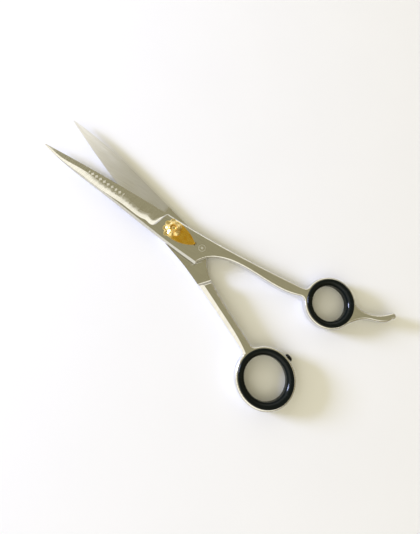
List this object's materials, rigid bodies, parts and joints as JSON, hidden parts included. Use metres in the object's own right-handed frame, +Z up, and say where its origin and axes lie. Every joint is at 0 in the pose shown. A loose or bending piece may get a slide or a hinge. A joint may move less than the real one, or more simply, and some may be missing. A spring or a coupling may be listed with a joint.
{
  "type": "hair cutting shears",
  "caption": "Right-handed hair cutting shears with slim bevelled blades, adjustable pivot nut, cushioned finger rings and a curved finger rest.",
  "frame": {"origin": "on the pivot axis, in the plane that the shears lie on, at the centre of the pivot screw's flat head", "axes": "+X from the pivot along the finger blade to its tip; +Z up, away from the table; +Y towards the thumb ring"},
  "size_m": [0.1963, 0.0778, 0.0093],
  "materials": {
    "blade_steel": "satin ground and polished",
    "ring_rubber": "glossy black",
    "bumper_rubber": "satin black",
    "gilt_brass": "polished gilt",
    "gilt_screw": "polished gilt",
    "nylon": "plain white"
  },
  "bodies": {
    "finger_half": {"finger_blade": "blade_steel", "finger_ring_insert": "ring_rubber", "pivot_screw": "gilt_screw", "glide_washer": "nylon", "leaf_spring": "gilt_brass"},
    "thumb_half": {"thumb_blade": "blade_steel", "thumb_ring_insert": "ring_rubber", "pivot_bush": "nylon", "bumper": "bumper_rubber"},
    "nut": {"tension_nut": "gilt_brass"}
  },
  "joints": [
    {"name": "blade_pivot", "type": "hinge", "parent": "finger_half", "child": "thumb_half", "pos_m": [0, 0, 0.0033], "axis": [0, 0, -1], "range_deg": [-13.7, 76.3]},
    {"name": "nut_turn", "type": "hinge", "parent": "finger_half", "child": "nut", "pos_m": [0, 0, 0.0064], "axis": [0, 0, 1], "range_deg": [-90, 90]}
  ]
}
